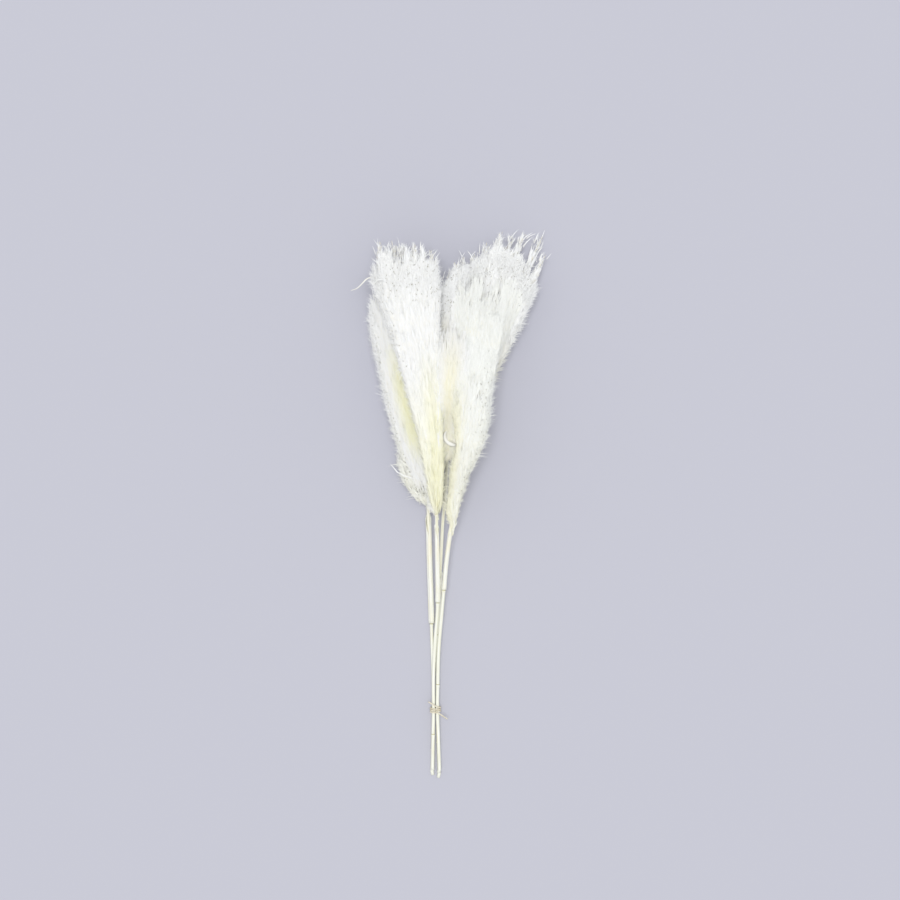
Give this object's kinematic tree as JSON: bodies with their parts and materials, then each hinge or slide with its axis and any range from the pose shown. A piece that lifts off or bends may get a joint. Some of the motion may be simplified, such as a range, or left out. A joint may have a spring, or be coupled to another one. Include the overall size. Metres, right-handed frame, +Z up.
{
  "type": "bundle of silver grass",
  "caption": "Bleached dried silver grass stems with feathery white plumes, tied near the cut ends and lying flat as a loose fan-shaped bundle.",
  "frame": {"origin": "centre of the bundle's footprint, on the surface it lies on", "axes": "+Y from the cut stem ends towards the plume tips, +Z up from the surface it lies on, +X to the right when seen from above with the plumes at the top"},
  "size_m": [0.2106, 0.5934, 0.0744],
  "materials": {
    "stem": "dry, bleached grass stem with a faint silky gloss",
    "sheath": "dry, papery, finely ribbed leaf sheath",
    "plume": "soft, silky white hairs, cream in the depths",
    "leaf": "dry, thin leaf, pale cream",
    "twine": "plain twisted cotton twine"
  },
  "bodies": {
    "root": {"stem_1": "stem", "stem_2": "stem", "stem_3": "stem", "stem_4": "stem", "leaf_sheath_1": "sheath", "leaf_sheath_2": "sheath", "leaf_sheath_3": "sheath", "leaf_sheath_4": "sheath", "plume_1_branch_01": "plume", "plume_1_branch_02": "plume", "plume_1_branch_03": "plume", "plume_1_branch_04": "plume", "plume_1_branch_05": "plume", "plume_1_branch_06": "plume", "plume_1_branch_07": "plume", "plume_1_branch_08": "plume", "plume_1_branch_09": "plume", "plume_1_branch_10": "plume", "plume_1_branch_11": "plume", "plume_1_branch_12": "plume", "plume_2_branch_01": "plume", "plume_2_branch_02": "plume", "plume_2_branch_03": "plume", "plume_2_branch_04": "plume", "plume_2_branch_05": "plume", "plume_2_branch_06": "plume", "plume_2_branch_07": "plume", "plume_2_branch_08": "plume", "plume_2_branch_09": "plume", "plume_2_branch_10": "plume", "plume_2_branch_11": "plume", "plume_2_branch_12": "plume", "plume_3_branch_01": "plume", "plume_3_branch_02": "plume", "plume_3_branch_03": "plume", "plume_3_branch_04": "plume", "plume_3_branch_05": "plume", "plume_3_branch_06": "plume", "plume_3_branch_07": "plume", "plume_3_branch_08": "plume", "plume_3_branch_09": "plume", "plume_3_branch_10": "plume", "plume_3_branch_11": "plume", "plume_3_branch_12": "plume", "plume_3_branch_13": "plume", "plume_3_branch_14": "plume", "plume_3_branch_15": "plume", "plume_4_branch_01": "plume", "plume_4_branch_02": "plume", "plume_4_branch_03": "plume", "plume_4_branch_04": "plume", "plume_4_branch_05": "plume", "plume_4_branch_06": "plume", "plume_4_branch_07": "plume", "twine_tie": "twine", "curled_leaf_tip": "leaf", "stray_branch": "plume"}
  },
  "joints": []
}
